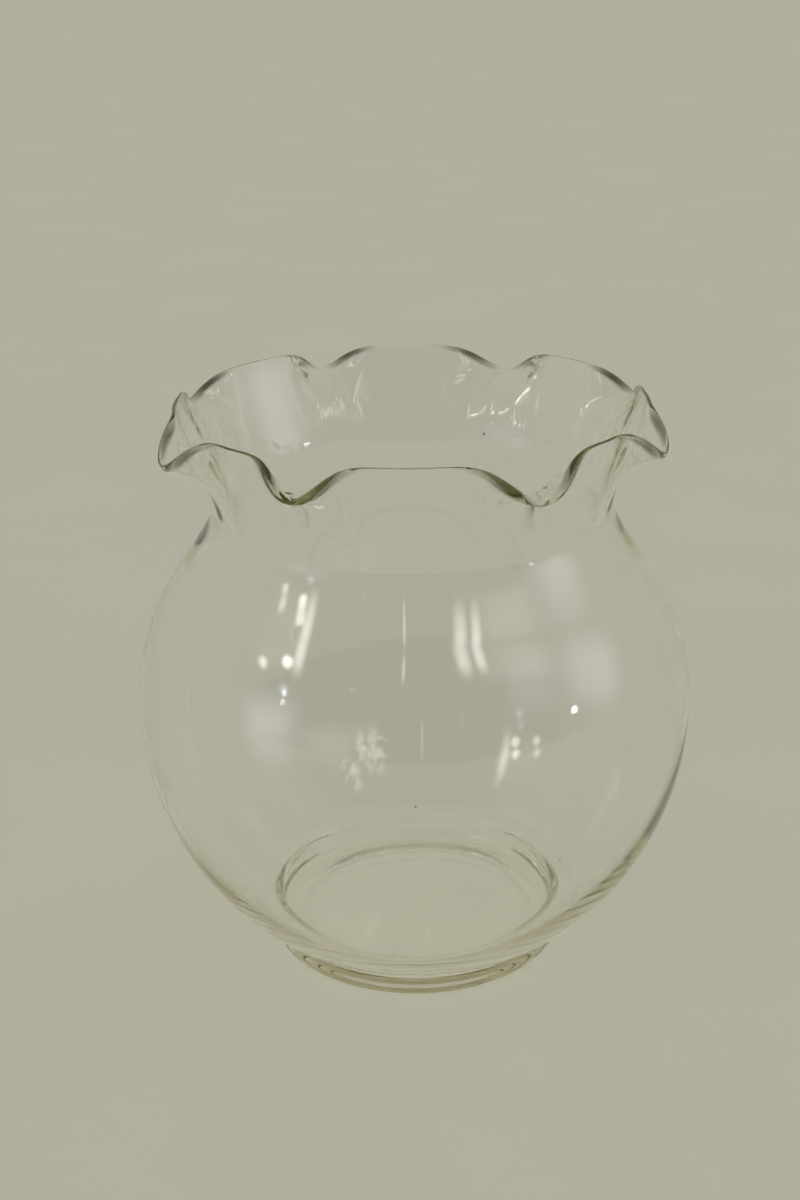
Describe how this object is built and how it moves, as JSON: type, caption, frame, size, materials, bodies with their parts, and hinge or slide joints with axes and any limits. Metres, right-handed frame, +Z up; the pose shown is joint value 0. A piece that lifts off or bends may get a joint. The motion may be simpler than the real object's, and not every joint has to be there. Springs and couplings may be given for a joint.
{
  "type": "rose bowl vase",
  "caption": "Clear glass rose bowl vase: a round bowl on a low foot with a waisted neck and a flared, ruffled rim, for cut flowers or floating blooms.",
  "frame": {"origin": "centre of the standing ring, on the surface the vase stands on", "axes": "+Z up along the bowl's axis; -Y is the side that faces the camera in the picture"},
  "size_m": [0.1532, 0.1532, 0.1583],
  "materials": {
    "clear_glass": "clear, fire-polished, with a faint olive tint in thick edges"
  },
  "bodies": {
    "root": {"foot": "clear_glass", "bowl": "clear_glass", "neck": "clear_glass", "ruffled_rim": "clear_glass"}
  },
  "joints": []
}
